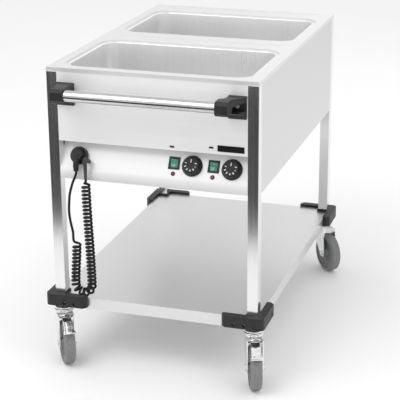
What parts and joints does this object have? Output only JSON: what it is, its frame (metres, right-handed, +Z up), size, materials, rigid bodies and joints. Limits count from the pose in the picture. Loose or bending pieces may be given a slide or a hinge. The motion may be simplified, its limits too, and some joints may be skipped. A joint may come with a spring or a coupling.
{
  "type": "bain-marie trolley",
  "caption": "Mobile bain-marie trolley with deep food wells sunk in a stainless worktop, slanted control panel, push handle, lower shelf, corner bumpers and swivel castors.",
  "frame": {"origin": "on the floor, under the middle of the outline seen from above, the cord left out", "axes": "+Z up, the handle and the controls on the -Y side, +X to the right as seen from there"},
  "size_m": [0.7086, 1.026, 0.855],
  "materials": {
    "stainless": "satin brushed",
    "handle_steel": "polished",
    "zinc": "bright zinc plated",
    "screw_steel": "plain",
    "grey_plastic": "fine grained",
    "black_plastic": "fine grained",
    "black_gloss": "glossy",
    "green_lens": "glossy, translucent",
    "red_lens": "glossy, translucent",
    "cord_rubber": "satin",
    "wheel_tyre": "smooth grey rubber",
    "wheel_plastic": "smooth",
    "plate_aluminium": "dull",
    "valve_brass": "dull",
    "lever_plastic": "smooth"
  },
  "bodies": {
    "frame": {"leg_front_left": "stainless", "leg_front_right": "stainless", "leg_rear_left": "stainless", "leg_rear_right": "stainless", "shelf": "stainless", "bumper_front_left": "grey_plastic", "bumper_front_right": "grey_plastic", "bumper_rear_left": "grey_plastic", "bumper_rear_right": "grey_plastic", "bumper_screws": "screw_steel", "worktop": "stainless", "well_front": "stainless", "well_rear": "stainless", "front_panel": "stainless", "rear_panel": "stainless", "side_panel_left": "stainless", "side_panel_right": "stainless", "control_panel": "stainless", "floor_pan": "stainless", "heating_plates": "plate_aluminium", "thermostats": "black_plastic", "switch_housings": "black_gloss", "pilot_lamps": "red_lens", "panel_plugs": "black_plastic", "name_plate": "black_gloss", "handle_bar": "handle_steel", "handle_bracket_left": "grey_plastic", "handle_bracket_right": "grey_plastic", "handle_screws": "screw_steel", "plug_holder": "black_plastic", "cord_gland": "cord_rubber", "cord_coil": "cord_rubber", "cord_tail": "cord_rubber", "mains_plug": "black_plastic", "castor_heads": "zinc", "drain_valves": "valve_brass"},
    "swivel_front_left": {"fork_front_left": "zinc", "axle_front_left": "screw_steel"},
    "wheel_front_left": {"hub_front_left": "wheel_plastic", "tyre_front_left": "wheel_tyre"},
    "brake_front_left": {"pedal_front_left": "zinc"},
    "swivel_front_right": {"fork_front_right": "zinc", "axle_front_right": "screw_steel"},
    "wheel_front_right": {"hub_front_right": "wheel_plastic", "tyre_front_right": "wheel_tyre"},
    "brake_front_right": {"pedal_front_right": "zinc"},
    "swivel_rear_left": {"fork_rear_left": "zinc", "axle_rear_left": "screw_steel"},
    "wheel_rear_left": {"hub_rear_left": "wheel_plastic", "tyre_rear_left": "wheel_tyre"},
    "swivel_rear_right": {"fork_rear_right": "zinc", "axle_rear_right": "screw_steel"},
    "wheel_rear_right": {"hub_rear_right": "wheel_plastic", "tyre_rear_right": "wheel_tyre"},
    "dial_left": {"knob_left": "black_plastic"},
    "dial_right": {"knob_right": "black_plastic"},
    "switch_left": {"rocker_left": "green_lens"},
    "switch_right": {"rocker_right": "green_lens"},
    "tap_front": {"drain_lever_front": "lever_plastic"},
    "tap_rear": {"drain_lever_rear": "lever_plastic"}
  },
  "joints": [
    {"name": "swivel_turn_front_left", "type": "hinge", "parent": "frame", "child": "swivel_front_left", "pos_m": [-0.28, -0.394, 0.145], "axis": [0, 0, 1], "continuous": true},
    {"name": "wheel_roll_front_left", "type": "hinge", "parent": "swivel_front_left", "child": "wheel_front_left", "pos_m": [-0.2593, -0.42587, 0.0625], "axis": [0.8387, 0.5446, 0], "continuous": true},
    {"name": "brake_press_front_left", "type": "hinge", "parent": "swivel_front_left", "child": "brake_front_left", "pos_m": [-0.26366, -0.41916, 0.137], "axis": [0.8387, 0.5446, 0], "range_deg": [0, 5]},
    {"name": "swivel_turn_front_right", "type": "hinge", "parent": "frame", "child": "swivel_front_right", "pos_m": [0.28, -0.394, 0.145], "axis": [0, 0, 1], "continuous": true},
    {"name": "wheel_roll_front_right", "type": "hinge", "parent": "swivel_front_right", "child": "wheel_front_right", "pos_m": [0.29362, -0.42948, 0.0625], "axis": [0.9336, 0.3584, 0], "continuous": true},
    {"name": "brake_press_front_right", "type": "hinge", "parent": "swivel_front_right", "child": "brake_front_right", "pos_m": [0.29075, -0.42201, 0.137], "axis": [0.9336, 0.3584, 0], "range_deg": [0, 5]},
    {"name": "swivel_turn_rear_left", "type": "hinge", "parent": "frame", "child": "swivel_rear_left", "pos_m": [-0.28, 0.476, 0.145], "axis": [0, 0, 1], "continuous": true},
    {"name": "wheel_roll_rear_left", "type": "hinge", "parent": "swivel_rear_left", "child": "wheel_rear_left", "pos_m": [-0.30493, 0.44732, 0.0625], "axis": [0.7547, -0.6561, 0], "continuous": true},
    {"name": "swivel_turn_rear_right", "type": "hinge", "parent": "frame", "child": "swivel_rear_right", "pos_m": [0.28, 0.476, 0.145], "axis": [0, 0, 1], "continuous": true},
    {"name": "wheel_roll_rear_right", "type": "hinge", "parent": "swivel_rear_right", "child": "wheel_rear_right", "pos_m": [0.30493, 0.44732, 0.0625], "axis": [0.7547, 0.6561, 0], "continuous": true},
    {"name": "dial_turn_left", "type": "hinge", "parent": "frame", "child": "dial_left", "pos_m": [0.108, -0.39058, 0.60724], "axis": [0, -0.8746, 0.4848], "range_deg": [-270, 0]},
    {"name": "dial_turn_right", "type": "hinge", "parent": "frame", "child": "dial_right", "pos_m": [0.218, -0.39058, 0.60724], "axis": [0, -0.8746, 0.4848], "range_deg": [-270, 0]},
    {"name": "switch_tip_left", "type": "hinge", "parent": "frame", "child": "switch_left", "pos_m": [0.057, -0.38601, 0.60928], "axis": [1, 0, 0], "range_deg": [-16, 0]},
    {"name": "switch_tip_right", "type": "hinge", "parent": "frame", "child": "switch_right", "pos_m": [0.167, -0.38601, 0.60928], "axis": [1, 0, 0], "range_deg": [-16, 0]},
    {"name": "tap_turn_front", "type": "hinge", "parent": "frame", "child": "tap_front", "pos_m": [0, -0.213, 0.579], "axis": [0, 1, 0], "range_deg": [0, 90]},
    {"name": "tap_turn_rear", "type": "hinge", "parent": "frame", "child": "tap_rear", "pos_m": [0, 0.233, 0.579], "axis": [0, 1, 0], "range_deg": [0, 90]}
  ]
}
